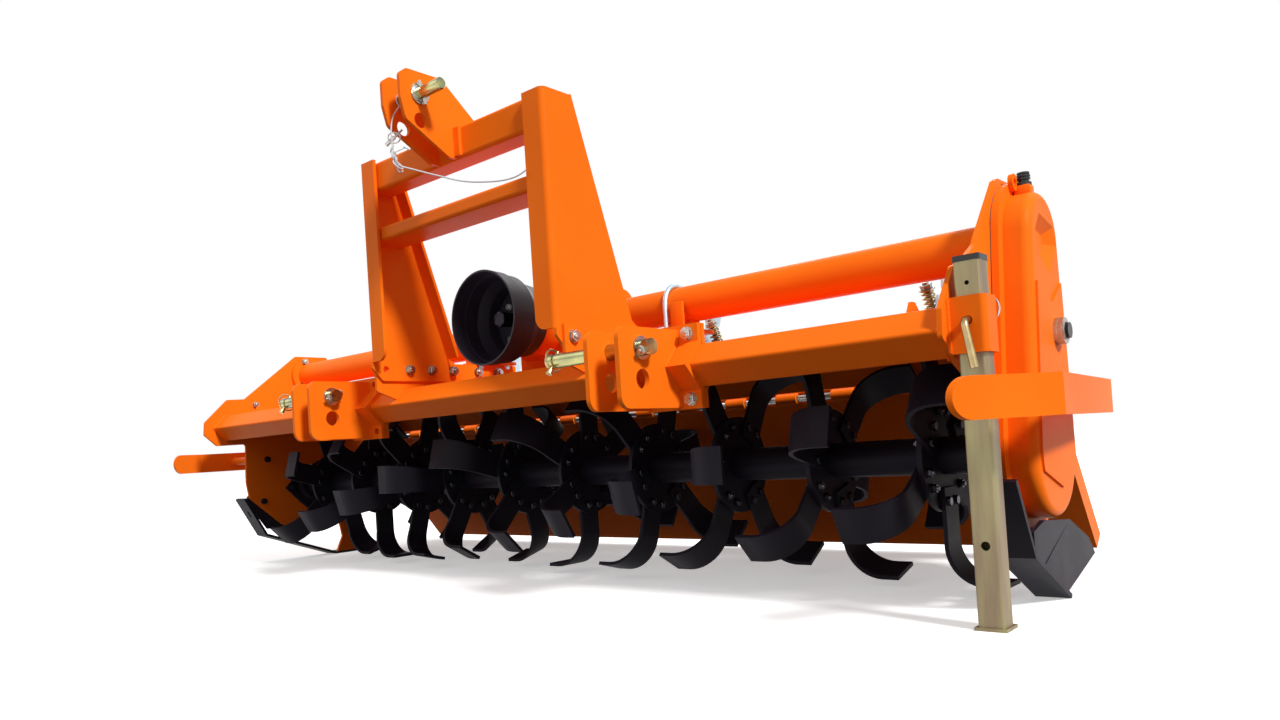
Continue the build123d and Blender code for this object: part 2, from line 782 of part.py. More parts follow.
with BuildPart() as parking_leg:
    with BuildSketch(Plane.XY.offset(leg_foot_t)):
        with Locations((leg_x, leg_y)):
            RectangleRounded(leg_s, leg_s, leg_wall + 1)
            RectangleRounded(leg_s - 2 * leg_wall, leg_s - 2 * leg_wall, 1.5, mode=Mode.SUBTRACT)
    extrude(amount=leg_top - leg_foot_t)
    with BuildSketch(Plane.XZ.offset(-leg_y)):
        with Locations((leg_x, leg_pin_z), (leg_x, leg_pin_z - leg_travel)):
            Circle(leg_pin_r + fit)
        with Locations((leg_x, leg_top - leg_top_hole_drop)):
            Circle(leg_top_hole_r)
    extrude(amount=leg_s, both=True, mode=Mode.SUBTRACT)
    with BuildSketch(Plane.XY):
        with Locations((leg_x, leg_y)):
            Rectangle(leg_foot_s, leg_foot_s)
    extrude(amount=leg_foot_t)
save(parking_leg.part, "parking_leg")

with BuildPart() as leg_cap:
    with BuildSketch(Plane.XY.offset(leg_top)):
        with Locations((leg_x, leg_y)):
            RectangleRounded(leg_s + 1, leg_s + 1, 4)
    extrude(amount=cap_t)
save(leg_cap.part, "leg_cap")

# ---------------------------------------------------------------- guard bars
bend_x = outer + guard_out


def guard_bar(side, front):
    """A flat guard bar on one side (-1 or 1), on two round stubs welded to the side plate."""
    tip = front - guard_h / 2  # past the rounded front end, which is cut below
    line = [
        (side * (bend_x - guard_front_slope * (guard_bend - tip)), tip),
        (side * bend_x, guard_bend),
        (side * (bend_x - guard_rear_slope * (guard_rear - guard_bend)), guard_rear),
    ]
    bar_outline = strip(line, guard_t) if side > 0 else strip(line[::-1], guard_t)
    with BuildPart() as bar:
        with BuildSketch(Plane.XY.offset(guard_z - guard_h / 2)):
            with BuildLine():
                Polyline(*bar_outline, close=True)
            make_face()
        extrude(amount=guard_h)
        with BuildSketch(Plane.YZ):
            with Locations((front + guard_h / 2, guard_z)):
                Circle(guard_h / 2)
            with Locations((front + guard_h / 2, guard_z)):
                Rectangle(guard_rear + guard_h - front, guard_h, align=(Align.MIN, Align.CENTER))
        extrude(amount=bend_x + guard_t, both=True, mode=Mode.INTERSECT)
        for y in (stub_front_y, stub_rear_y):
            stub_end = bend_x - guard_t / 2 - (y - guard_bend) * guard_rear_slope
            with BuildSketch(Plane.YZ.offset(side * outer)):
                with Locations((y, guard_z)):
                    Circle(stub_r)
            extrude(amount=side * (stub_end - outer))
    return bar.part


save(guard_bar(-1, guard_front_plain), "guard_bar_plain")
save(guard_bar(1, guard_front_gear), "guard_bar_gear")

# ---------------------------------------------------------------- skids
skid_edge = outer + skid_w


def leaning_face(outline):
    """A face that stands on its first two points at the skid's edge and leans in to the crest."""
    (y0, z0), (y1, z1) = outline[:2]

    def off_edge(y, z):
        return (y - y0) * (z1 - z0) - (z - z0) * (y1 - y0)

    crest = off_edge(*shoe_crest)
    corners = [(skid_edge - shoe_in * off_edge(y, z) / crest, y, z) for y, z in outline]
    return Face(Wire.make_polygon(corners, close=True))


skid_rows = ((-1, "plain", plain_skid_line, skid_web_plain), (1, "gear", gear_skid_line, skid_web_gear))
for side, name, line, web in skid_rows:
    low_x = -skid_edge if side < 0 else outer
    web_x = -outer - skid_t if side < 0 else outer
    with BuildPart() as skid:
        add(plate(strip(line, skid_t), low_x, skid_w))
        with BuildSketch(Plane.XZ.offset(-skid_toe[0] + skid_w)):
            with Locations((side * (outer + toe_slot_from), sum(toe_slot_z) / 2)):
                SlotOverall(toe_slot_z[1] - toe_slot_z[0], toe_slot_w, rotation=90)
        extrude(amount=-2 * skid_w, mode=Mode.SUBTRACT)
        add(plate(web, web_x, skid_t, 3))
        if side > 0:
            add(plate(skid_tie, web_x, skid_edge - outer - shoe_in))
            for outline in (shoe_upper, shoe_lower):
                extrude(leaning_face(outline), amount=skid_t, dir=(-1, 0, 0))
    save(skid.part, f"skid_{name}")
save(plate(strut_outline, -outer - strut_t, strut_t), "skid_strut")

# ---------------------------------------------------------------- tailboard and its sprung rods
along = (cos(slope), -sin(slope))  # down the board, in Y and Z
out = (sin(slope), cos(slope))  # outwards from the board
board_half = half - board_gap


def on_board(down, up):
    """A place given down the tailboard from its hinge and outwards from it."""
    return (hinge_y + down * along[0] + up * out[0], hinge_z + down * along[1] + up * out[1])


rod_lug_yz = on_board(lug_along, lug_out)
knuckle_count = 2 * floor((board_half - knuckle_len / 2) / knuckle_pitch) + 1
knuckles = [(i - (knuckle_count - 1) / 2) * knuckle_pitch for i in range(knuckle_count)]
root = [(hinge_r + 2, -2), (18, -2), (18, 2), (hinge_r + 2, 2)]
with BuildPart() as tailboard:
    panel = [(16, -2), (board_len, -2), (board_len, 2), (16, 2)]
    add(plate([on_board(*p) for p in panel], -board_half, 2 * board_half))
    for x in knuckles:
        with BuildSketch(Plane.YZ.offset(x - knuckle_len / 2)):
            with Locations((hinge_y, hinge_z)):
                Circle(hinge_r + knuckle_over)
            with BuildLine():
                Polyline(*[on_board(*p) for p in root], close=True)
            make_face()
            with Locations((hinge_y, hinge_z)):
                Circle(hinge_r + fit, mode=Mode.SUBTRACT)
        extrude(amount=knuckle_len)
    side_flange = [(60, 1), (board_len, 1), (board_len, board_flange), (120, board_flange)]
    cheek = [on_board(*p) for p in side_flange]
    for x in (-board_half, board_half - sheet_t):
        add(plate(cheek, x, sheet_t))
    rod_lug = [(-26, 1), (26, 1), (14, lug_out + 14), (-14, lug_out + 14)]
    ear = [on_board(lug_along + down, up) for down, up in rod_lug]
    for x in rod_x:
        for low_x in (x - rod_eye_w / 2 - 1 - bracket_t, x + rod_eye_w / 2 + 1):
            add(drill(plate(ear, low_x, bracket_t, 4), [rod_lug_yz], rod_pivot_r + fit, low_x, bracket_t))
save(tailboard.part, "tailboard")

with BuildPart() as hinge_rod:
    with BuildSketch(Plane.YZ.offset(-half)):
        with Locations((hinge_y, hinge_z)):
            Circle(hinge_r)
    extrude(amount=inner_width)
save(hinge_rod.part, "hinge_rod")

rod_dy, rod_dz = trunnion_y - rod_lug_yz[0], trunnion_z - rod_lug_yz[1]
rod_long = hypot(rod_dy, rod_dz)
rod_up = Vector(0, rod_dy / rod_long, rod_dz / rod_long)
for i, x in enumerate(rod_x, start=1):
    foot = Plane(origin=(x, *rod_lug_yz), x_dir=(1, 0, 0), z_dir=rod_up)
    with BuildPart() as rod:
        with BuildSketch(Plane.YZ.offset(x - rod_eye_w / 2)):
            with Locations(rod_lug_yz):
                Circle(rod_pivot_r + 8)
        extrude(amount=rod_eye_w)
        with BuildSketch(Plane.YZ.offset(x - rod_eye_w / 2 - 1 - bracket_t - 3)):
            with Locations(rod_lug_yz):
                Circle(rod_pivot_r)
        extrude(amount=rod_eye_w + 2 * (1 + bracket_t + 3))
        with BuildSketch(foot):
            Circle(rod_r)
        extrude(amount=rod_long + rod_over)
        with BuildSketch(foot.offset(rod_long + spring_foot + spring_len)):
            Circle(spring_r + 2)
        extrude(amount=4)
        with BuildSketch(foot.offset(rod_long + spring_foot - 4)):
            Circle(spring_r + 2)
        extrude(amount=4)
    save(rod.part, f"tailboard_rod_{i}")
    with BuildPart() as spring:
        with BuildSketch(foot.offset(rod_long + spring_foot)):
            Circle(spring_r)
            Circle(rod_r + fit, mode=Mode.SUBTRACT)
        extrude(amount=spring_len)
    save(spring.part, f"rod_spring_{i}")

cheek_outline = about((trunnion_y, trunnion_z), cheek_shape)
with BuildPart() as rod_brackets:
    for x, cheek_side in zip(rod_x, (-1, 1, -1, 1)):
        cheek_x = x + cheek_side * cheek_in
        with BuildSketch(Plane.YZ.offset(cheek_x)):
            with BuildLine():
                Polyline(*cheek_outline, close=True)
            make_face()
            with Locations((0, rotor_z)):
                Circle(hood_over, mode=Mode.SUBTRACT)
        extrude(amount=cheek_side * bracket_t)
        seat_plane = Plane(origin=(cheek_x, trunnion_y, trunnion_z), x_dir=(1, 0, 0), z_dir=rod_up)
        with BuildSketch(seat_plane.offset(-bracket_t)):
            with Locations((-cheek_side * bracket_w / 2, 0)):
                Rectangle(bracket_w, bracket_d)
            with Locations((-cheek_side * cheek_in, 0)):
                SlotOverall(bracket_slot, 2 * rod_r + 8, rotation=90, mode=Mode.SUBTRACT)
        extrude(amount=bracket_t)
save(rod_brackets.part, "rod_brackets")

# ---------------------------------------------------------------- tined reel and its bearings
tine_top = sqrt(tip_r**2 - (tine_tip_w / 2 + tine_sweep) ** 2)  # outside of the tip's flat from the axis
widening = tine_top - tine_bend_r  # where the shank starts to widen
blade_shape = [
    (-tine_w / 2, 0),
    (tine_w / 2, 0),
    (tine_w / 2, widening),
    (tine_sweep + tine_tip_w / 2, tip_r),
    (tine_sweep - tine_tip_w / 2, tip_r),
    (-tine_w / 2, widening),
]


def tine(side):
    """A tine standing up from the rotor axis and bent towards one side, in the wheel's own frame."""
    low = side * disc_t / 2
    bend_x, bend_z = low + side * tine_bend_r, tine_top - tine_bend_r
    inside_r = tine_bend_r - tine_t
    with BuildPart() as blade:
        with BuildSketch(Plane.XZ.offset(-tine_sweep - tine_tip_w / 2)):
            with BuildLine():
                Line((low, tine_root_r), (low, bend_z))
                ThreePointArc(
                    (low, bend_z),
                    (bend_x - side * tine_bend_r * sqrt(0.5), bend_z + tine_bend_r * sqrt(0.5)),
                    (bend_x, tine_top),
                )
                Polyline(
                    (bend_x, tine_top),
                    (side * tine_reach, tine_top),
                    (side * tine_reach, tine_top - tine_t),
                    (bend_x, tine_top - tine_t),
                )
                ThreePointArc(
                    (bend_x, tine_top - tine_t),
                    (bend_x - side * inside_r * sqrt(0.5), bend_z + inside_r * sqrt(0.5)),
                    (low + side * tine_t, bend_z),
                )
                Polyline(
                    (low + side * tine_t, bend_z),
                    (low + side * tine_t, tine_root_r),
                    (low, tine_root_r),
                )
            make_face()
        extrude(amount=tine_tip_w + tine_w)
        with BuildSketch(Plane.YZ):
            with BuildLine():
                Polyline(*blade_shape, close=True)
            make_face()
        extrude(amount=tine_reach + tine_t, both=True, mode=Mode.INTERSECT)
    return blade.part


blades = {side: tine(side) for side in (-1, 1)}


wheels = []
for n in range(tine_wheels):
    wheel_x = first_wheel_x + n * wheel_pitch
    for k in range(tines_per_wheel):
        turn = first_wheel_turn + n * wheel_lead + k * 360 / tines_per_wheel
        blade = blades[1 if k % 2 else -1].rotate(Axis.X, turn)
        wheels.append(Pos(wheel_x, 0, rotor_z) * blade)
with BuildPart() as reel:
    with BuildSketch(Plane.YZ.offset(-reel_half)):
        with Locations((0, rotor_z)):
            Circle(reel_tube_r)
    extrude(amount=2 * reel_half)
    for n in range(tine_wheels):
        with BuildSketch(Plane.YZ.offset(first_wheel_x + n * wheel_pitch - disc_t / 2)):
            with Locations((0, rotor_z)):
                Circle(disc_r)
        extrude(amount=disc_t)
    add(wheels)
save(reel.part, "tined_reel")

bearing_plate = plate(about(rotor_at, bearing_shape), -half, bearing_t)
with BuildPart() as bearing_plain:
    add(bearing_plate)
    with BuildSketch(Plane.YZ.offset(-half)):
        with Locations((0, rotor_z)):
            Circle(hub_r)
    extrude(amount=half - reel_half - hub_gap)
save(bearing_plain.part, "bearing_housing_plain")
with BuildPart() as bearing_gear:
    with BuildSketch(Plane.YZ.offset(reel_half + hub_gap)):
        with Locations((0, rotor_z)):
            Circle(hub_r + hub_clear)
    extrude(amount=half - reel_half - hub_gap)
save(bearing_gear.part, "bearing_housing_gear")
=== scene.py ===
"""Dresses the rotary tiller: finishes, bolts, coil springs, pins and a plain studio."""
import json
import math

import bmesh
import bpy
from mathutils import Matrix, Vector


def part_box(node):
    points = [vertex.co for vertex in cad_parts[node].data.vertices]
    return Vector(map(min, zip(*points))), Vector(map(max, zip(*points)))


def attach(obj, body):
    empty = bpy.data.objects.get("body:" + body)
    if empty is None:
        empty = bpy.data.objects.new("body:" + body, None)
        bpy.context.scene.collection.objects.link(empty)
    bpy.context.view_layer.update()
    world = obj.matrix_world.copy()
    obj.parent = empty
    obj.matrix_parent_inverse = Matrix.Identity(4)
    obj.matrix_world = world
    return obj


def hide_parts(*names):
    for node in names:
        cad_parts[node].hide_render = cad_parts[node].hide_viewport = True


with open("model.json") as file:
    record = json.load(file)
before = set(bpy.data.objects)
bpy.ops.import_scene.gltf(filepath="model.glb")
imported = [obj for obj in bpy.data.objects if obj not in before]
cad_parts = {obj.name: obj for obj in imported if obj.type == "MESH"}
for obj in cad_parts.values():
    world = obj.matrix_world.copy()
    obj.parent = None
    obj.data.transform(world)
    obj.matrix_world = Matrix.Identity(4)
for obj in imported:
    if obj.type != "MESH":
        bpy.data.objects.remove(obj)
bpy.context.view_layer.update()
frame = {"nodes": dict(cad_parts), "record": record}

JOINTS = frame["record"]["behaviour"]["joints"]
PLACES = {joint["name"]: Vector(joint.get("pos_m", (0, 0, 0))) for joint in JOINTS}
ROTOR = PLACES["reel_spin"]
MM = 0.001
CREASE = math.radians(32)


def at(x, y, z):
    """A place given in millimetres, with y counted from the rotor's axis."""
    return Vector((x * MM, ROTOR.y + y * MM, z * MM))


# ---------------------------------------------------------------- camera
CAMERA_AT = at(1697, -1683, 309)
CAMERA_YAW = math.radians(41.36)
CAMERA_PITCH = math.radians(0.99)
CAMERA_ROLL = math.radians(3.70)
LENS_MM = 25.72
CAMERA_SHIFT = (0.0246, 0.0565)


def add_camera():
    """The viewpoint: low, off the gear-case corner."""
    forward = Vector((
        -math.sin(CAMERA_YAW) * math.cos(CAMERA_PITCH),
        math.cos(CAMERA_YAW) * math.cos(CAMERA_PITCH),
        math.sin(CAMERA_PITCH),
    ))
    level = Vector((math.cos(CAMERA_YAW), math.sin(CAMERA_YAW), 0))
    upright = level.cross(forward)
    right = math.cos(CAMERA_ROLL) * level - math.sin(CAMERA_ROLL) * upright
    up = math.sin(CAMERA_ROLL) * level + math.cos(CAMERA_ROLL) * upright
    data = bpy.data.cameras.new("camera")
    data.lens = LENS_MM
    data.shift_x, data.shift_y = CAMERA_SHIFT
    data.clip_start = 0.05
    camera = bpy.data.objects.new("camera", data)
    turned = Matrix((right, up, -forward)).transposed().to_4x4()
    camera.matrix_world = Matrix.Translation(CAMERA_AT) @ turned
    bpy.context.scene.collection.objects.link(camera)
    bpy.context.scene.camera = camera


# ---------------------------------------------------------------- finishes
def new_material(name):
    """An empty node material and its shader."""
    material = bpy.data.materials.new(name)
    material.use_nodes = True
    return material, material.node_tree.nodes["Principled BSDF"]


def add_node(material, kind, links=(), **inputs):
    """A node with its inputs' values; links are (input name, source socket)."""
    node = material.node_tree.nodes.new(kind)
    for key, value in inputs.items():
        node.inputs[key].default_value = value
    for socket, source in links:
        material.node_tree.links.new(source, node.inputs[socket])
    return node


def noise(material, scale, detail=3.0, rough=0.5, stretch=(1, 1, 1)):
    """Noise on object coordinates, stretched along the axes."""
    where = add_node(material, "ShaderNodeTexCoord")
    mapping = add_node(material, "ShaderNodeMapping", [("Vector", where.outputs["Object"])])
    mapping.inputs["Scale"].default_value = stretch
    made = add_node(material, "ShaderNodeTexNoise", [("Vector", mapping.outputs["Vector"])])
    made.inputs["Scale"].default_value = scale
    made.inputs["Detail"].default_value = detail
    made.inputs["Roughness"].default_value = rough
    return made.outputs["Fac"]


def ramp(material, source, low, high, first, last):
    """A colour ramp between two colours over a range of the source."""
    made = add_node(material, "ShaderNodeValToRGB", [("Fac", source)])
    made.color_ramp.elements[0].position = low
    made.color_ramp.elements[1].position = high
    made.color_ramp.elements[0].color = (*first, 1)
    made.color_ramp.elements[1].color = (*last, 1)
    return made.outputs["Color"]


def span(material, source, low, high):
    """The source, from 0 to 1, spread between two values."""
    made = add_node(material, "ShaderNodeMapRange", [("Value", source)])
    made.inputs["To Min"].default_value = low
    made.inputs["To Max"].default_value = high
    return made.outputs["Result"]


def bump(material, shader, height, strength, distance):
    """Fine relief on a shader."""
    made = add_node(material, "ShaderNodeBump", [("Height", height)])
    made.inputs["Strength"].default_value = strength
    made.inputs["Distance"].default_value = distance
    material.node_tree.links.new(made.outputs["Normal"], shader.inputs["Normal"])


def paint(name, first, last, rough, shine):
    """Sprayed paint: slight drift of colour, orange-peel relief and a soft gloss."""
    material, shader = new_material(name)
    colour = ramp(material, noise(material, 3.0, 4.0), 0.35, 0.65, first, last)
    material.node_tree.links.new(colour, shader.inputs["Base Color"])
    gloss = span(material, noise(material, 14.0, 5.0, 0.6), rough[0], rough[1])
    material.node_tree.links.new(gloss, shader.inputs["Roughness"])
    shader.inputs["Specular IOR Level"].default_value = shine
    bump(material, shader, noise(material, 420.0, 2.0), 0.12, 0.0004)
    return material


def plated(name, first, last, rough, streak=(1, 1, 1), metal=1.0):
    """Zinc-plated or bare steel: drifting tint and uneven gloss."""
    material, shader = new_material(name)
    colour = ramp(material, noise(material, 22.0, 4.0, 0.6, streak), 0.35, 0.68, first, last)
    material.node_tree.links.new(colour, shader.inputs["Base Color"])
    gloss = span(material, noise(material, 60.0, 4.0, 0.6, streak), rough[0], rough[1])
    material.node_tree.links.new(gloss, shader.inputs["Roughness"])
    shader.inputs["Metallic"].default_value = metal
    bump(material, shader, noise(material, 300.0, 2.0, 0.5, streak), 0.08, 0.0003)
    return material


def plastic(name, first, last, rough, shine=0.4):
    """Moulded plastic or rubber with a fine grain."""
    material, shader = new_material(name)
    colour = ramp(material, noise(material, 9.0, 3.0), 0.3, 0.7, first, last)
    material.node_tree.links.new(colour, shader.inputs["Base Color"])
    gloss = span(material, noise(material, 30.0), rough[0], rough[1])
    material.node_tree.links.new(gloss, shader.inputs["Roughness"])
    shader.inputs["Specular IOR Level"].default_value = shine
    bump(material, shader, noise(material, 260.0, 2.0), 0.2, 0.0005)
    return material


ORANGE = paint("orange_paint", (0.94, 0.162, 0.006), (1.00, 0.190, 0.008), (0.38, 0.50), 0.05)
BLACK = paint("black_paint", (0.008, 0.006, 0.010), (0.015, 0.012, 0.020), (0.42, 0.58), 0.10)
# The slight yellow tint of this zinc is partly its own tone and partly a painted reflection of the orange
# paint round the bolts.
ZINC = plated("bright_zinc", (0.30, 0.29, 0.27), (0.62, 0.61, 0.57), (0.20, 0.38))
BLACKENED = plated("blackened_zinc", (0.035, 0.033, 0.040), (0.085, 0.082, 0.095), (0.22, 0.36))
PALE_ZINC = plated("pale_blue_zinc", (0.45, 0.57, 0.66), (0.66, 0.75, 0.80), (0.38, 0.55))
PIN_ZINC = plated("pin_zinc", (0.13, 0.16, 0.12), (0.58, 0.54, 0.22), (0.16, 0.30), (0.3, 1, 1))
YELLOW_ZINC = plated("yellow_zinc", (0.24, 0.15, 0.07), (0.58, 0.46, 0.22), (0.24, 0.40))
LEG_ZINC = plated("olive_zinc", (0.24, 0.17, 0.11), (0.37, 0.34, 0.16), (0.40, 0.56), (1, 1, 0.12), 0.6)
# Painted shade: bright steel is given a near-black colour so that the PTO stub deep inside the shield looks
# shaded.
STEEL_PAINTED_SHADE = plated("steel_painted_shade", (0.012, 0.010, 0.014), (0.035, 0.030, 0.038), (0.42, 0.55))
SHIELD = plastic("dark_plastic", (0.014, 0.009, 0.016), (0.024, 0.017, 0.028), (0.42, 0.55), 0.25)
BLACK_PLASTIC = plastic("black_plastic", (0.010, 0.010, 0.011), (0.018, 0.018, 0.019), (0.3, 0.45))
GASKET = plastic("gasket", (0.13, 0.15, 0.16), (0.20, 0.22, 0.23), (0.6, 0.75))
WIRE = plastic("lanyard_wire", (0.55, 0.57, 0.60), (0.72, 0.73, 0.75), (0.35, 0.5))

FINISHES = {
    "orange_paint": ORANGE,
    "black_paint": BLACK,
    "shield_plastic": SHIELD,
    "black_plastic": BLACK_PLASTIC,
    "bright_steel": STEEL_PAINTED_SHADE,
    "zinc": ZINC,
    "yellow_zinc": YELLOW_ZINC,
    "gasket": GASKET,
}
OWN_FINISHES = {
    "parking_leg": LEG_ZINC,
    "rod_brackets": PALE_ZINC,
    "top_link_pin": PIN_ZINC,
    "lower_link_pin_plain": PIN_ZINC,
    "lower_link_pin_gear": PIN_ZINC,
}


def dress_nodes():
    """Gives every solid of the frame the finish of its material slot."""
    slots = {row["node"]: row["material_slot"] for row in frame["record"]["subparts"]}
    for name, node in frame["nodes"].items():
        finish = OWN_FINISHES.get(name, FINISHES[slots[name]])
        node.data.materials.clear()
        node.data.materials.append(finish)


# ---------------------------------------------------------------- shapes for the small pieces
def standing(place, way):
    """The transform that stands a shape on a place, facing a way."""
    return Matrix.Translation(place) @ Vector(way).to_track_quat("Z", "Y").to_matrix().to_4x4()


def round_block(mesh, place, way, r, depth, sides=16, r_end=None):
    """A round or many-sided block standing on a place."""
    far = r if r_end is None else r_end
    middle = place + Vector(way).normalized() * depth * MM / 2
    made = bmesh.ops.create_cone(
        mesh, cap_ends=True, segments=sides, radius1=r * MM, radius2=far * MM, depth=depth * MM,
        matrix=standing(middle, way),
    )
    return made["verts"]


def bolt_end(mesh, place, way, size, stub=0.0, washer=True):
    """A hexagon head or nut for a thread size, on its washer, with the thread's end past it."""
    way = Vector(way).normalized()
    if washer:
        round_block(mesh, place, way, 0.94 * size, 0.18 * size, 18)
        place = place + way * 0.18 * size * MM
    head = round_block(mesh, place, way, 0.866 * size, 0.62 * size, 6)
    rims = {edge for vert in head for edge in vert.link_edges if edge.calc_face_angle() > 1.5}
    bmesh.ops.bevel(
        mesh, geom=list(rims), offset=0.07 * size * MM, offset_type="OFFSET", segments=1, profile=0.5,
        affect="EDGES", material=-1,
    )
    if stub:
        place = place + way * 0.62 * size * MM
        round_block(mesh, place, way, 0.48 * size, stub, 12, 0.42 * size)


def through_bolt(mesh, start, end, size, stub=6.0):
    """A head at the start and a nut at the end of a bolt through something."""
    way = end - start
    bolt_end(mesh, start, -way, size)
    bolt_end(mesh, end, way, size, stub)


def box(mesh, low, high, bevel):
    """A block between two corners, with its edges eased."""
    spread = Matrix.Diagonal((*(high - low), 1))
    made = bmesh.ops.create_cube(mesh, size=1.0, matrix=Matrix.Translation((low + high) / 2) @ spread)
    edges = {edge for vert in made["verts"] for edge in vert.link_edges}
    bmesh.ops.bevel(
        mesh, geom=list(edges), offset=bevel * MM, offset_type="OFFSET", segments=2, profile=0.5,
        affect="EDGES", material=-1,
    )


def loop(mesh, centre, axis, r, wire, sides=8, steps=32):
    """A closed ring of round wire."""
    axis = Vector(axis).normalized()
    out = axis.orthogonal().normalized()
    made = bmesh.ops.create_circle(
        mesh, segments=sides, radius=wire * MM, matrix=standing(centre + out * r * MM, axis.cross(out))
    )
    edges = {edge for vert in made["verts"] for edge in vert.link_edges}
    bmesh.ops.spin(
        mesh, geom=made["verts"] + list(edges), cent=centre, axis=axis, angle=math.tau, steps=steps,
        use_merge=True,
    )


def collar(mesh, place, way, r_in, r_out, depth, steps=32):
    """A flat collar with a hole, standing on a place."""
    way = Vector(way).normalized()
    out = way.orthogonal().normalized()
    corners = [(r_in, 0), (r_out, 0), (r_out, depth), (r_in, depth)]
    verts = [mesh.verts.new(place + out * r * MM + way * up * MM) for r, up in corners]
    edges = [mesh.edges.new((verts[i - 1], verts[i])) for i in range(4)]
    bmesh.ops.spin(
        mesh, geom=verts + edges, cent=place, axis=way, angle=math.tau, steps=steps, use_merge=True,
    )


def corners_of(geometry):
    """The vertices among what an operator gave."""
    return [part for part in geometry if isinstance(part, bmesh.types.BMVert)]


def rim(verts):
    """The edges that join some vertices to one another."""
    return [edge for edge in {e for v in verts for e in v.link_edges} if all(v in verts for v in edge.verts)]


def bent_rod(mesh, start, way, r, moves, sides):
    """A round rod. A move is (length,) straight on, or (radius, axis, degrees) round a bend."""
    place, way = Vector(start), Vector(way).normalized()
    made = bmesh.ops.create_circle(
        mesh, cap_ends=True, segments=sides, radius=r * MM, matrix=standing(place, way),
    )
    verts = made["verts"]
    for size, *turn in moves:
        edges = rim(verts)
        if turn:
            axis, degrees = Vector(turn[0]).normalized(), turn[1]
            centre = place + axis.cross(way) * size * MM
            grown = bmesh.ops.spin(
                mesh, geom=verts + edges, cent=centre, axis=axis, angle=math.radians(degrees),
                steps=max(3, round(degrees / 12)),
            )["geom_last"]
            turned = Matrix.Rotation(math.radians(degrees), 3, axis)
            place, way = centre + turned @ (place - centre), turned @ way
            verts = corners_of(grown)
        else:
            verts = corners_of(bmesh.ops.extrude_edge_only(mesh, edges=edges)["geom"])
            step = way * size * MM
            bmesh.ops.translate(mesh, verts=verts, vec=step)
            place = place + step
    bmesh.ops.contextual_create(mesh, geom=rim(verts))


def weld(mesh, start, end, r=3.0):
    """A weld bead along a line, rippled as it was laid."""
    run = end - start
    steps = max(4, round(run.length / (1.3 * r * MM)))
    beads = round_block(mesh, start, run, r, run.length / MM, 8)
    edges = {edge for vert in beads for edge in vert.link_edges}
    sides = [edge for edge in edges if abs((edge.verts[1].co - edge.verts[0].co).dot(run)) > 1e-7]
    for vert in corners_of(bmesh.ops.subdivide_edges(mesh, edges=sides, cuts=steps - 1)["geom_inner"]):
        along = (vert.co - start).dot(run) / run.length_squared
        core = start + run * along
        vert.co = core + (vert.co - core) * (1.0 + 0.16 * math.cos(math.pi * round(along * steps)))


def piece(mesh, name, finish, body="frame"):
    """The mesh as a finished piece that rides on a body; edges sharper than CREASE stay sharp."""
    bmesh.ops.recalc_face_normals(mesh, faces=mesh.faces)
    for face in mesh.faces:
        face.smooth = True
    for edge in mesh.edges:
        edge.smooth = len(edge.link_faces) == 2 and edge.calc_face_angle() < CREASE
    data = bpy.data.meshes.new(name)
    mesh.to_mesh(data)
    mesh.free()
    made = bpy.data.objects.new(name, data)
    bpy.context.scene.collection.objects.link(made)
    data.materials.append(finish)
    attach(made, body)
    return made


# ---------------------------------------------------------------- sizes that the small pieces share
HITCH_X = 116
ROTOR_Z = 255
FIRST_WHEEL_X, WHEEL_PITCH = -975, 2010 / 9
FIRST_TURN, WHEEL_LEAD = 15, -15
TINE_BOLT_R, TINE_BOLT_HALF = 83, 17
AXLE_Y, AXLE_Z = 15, 625
PLATE_IN, PLATE_OUT = 1170, 1178
FLANGE_T = 14
UPRIGHT_OUT, UPRIGHT_T = 319, 8
FOOT_BOLT_Z = 538
LINK_OUT, EAR_OUT = 507, 42
PIN_FREE = 150
TOP_PIN = (-466, 1088)
TOP_PIN_R, LINK_PIN_R = 12.8, 14.1
LUG_OUT = 35
LINK_PIN = (-408, 485)
CLAMP_FRONT, CLAMP_BACK = -296, -274
GUARD_Z = 345
COIL_R, COIL_WIRE, COIL_LENGTH, COIL_TURNS = 12.2, 2.5, 92, 9
X, Y, Z = Vector((1, 0, 0)), Vector((0, 1, 0)), Vector((0, 0, 1))


def around(number, r, first=0.0):
    """Places evenly round a circle, as (across, up) pairs; the first is given in steps."""
    turns = [(i + first) * math.tau / number for i in range(number)]
    return [(r * math.cos(turn), r * math.sin(turn)) for turn in turns]


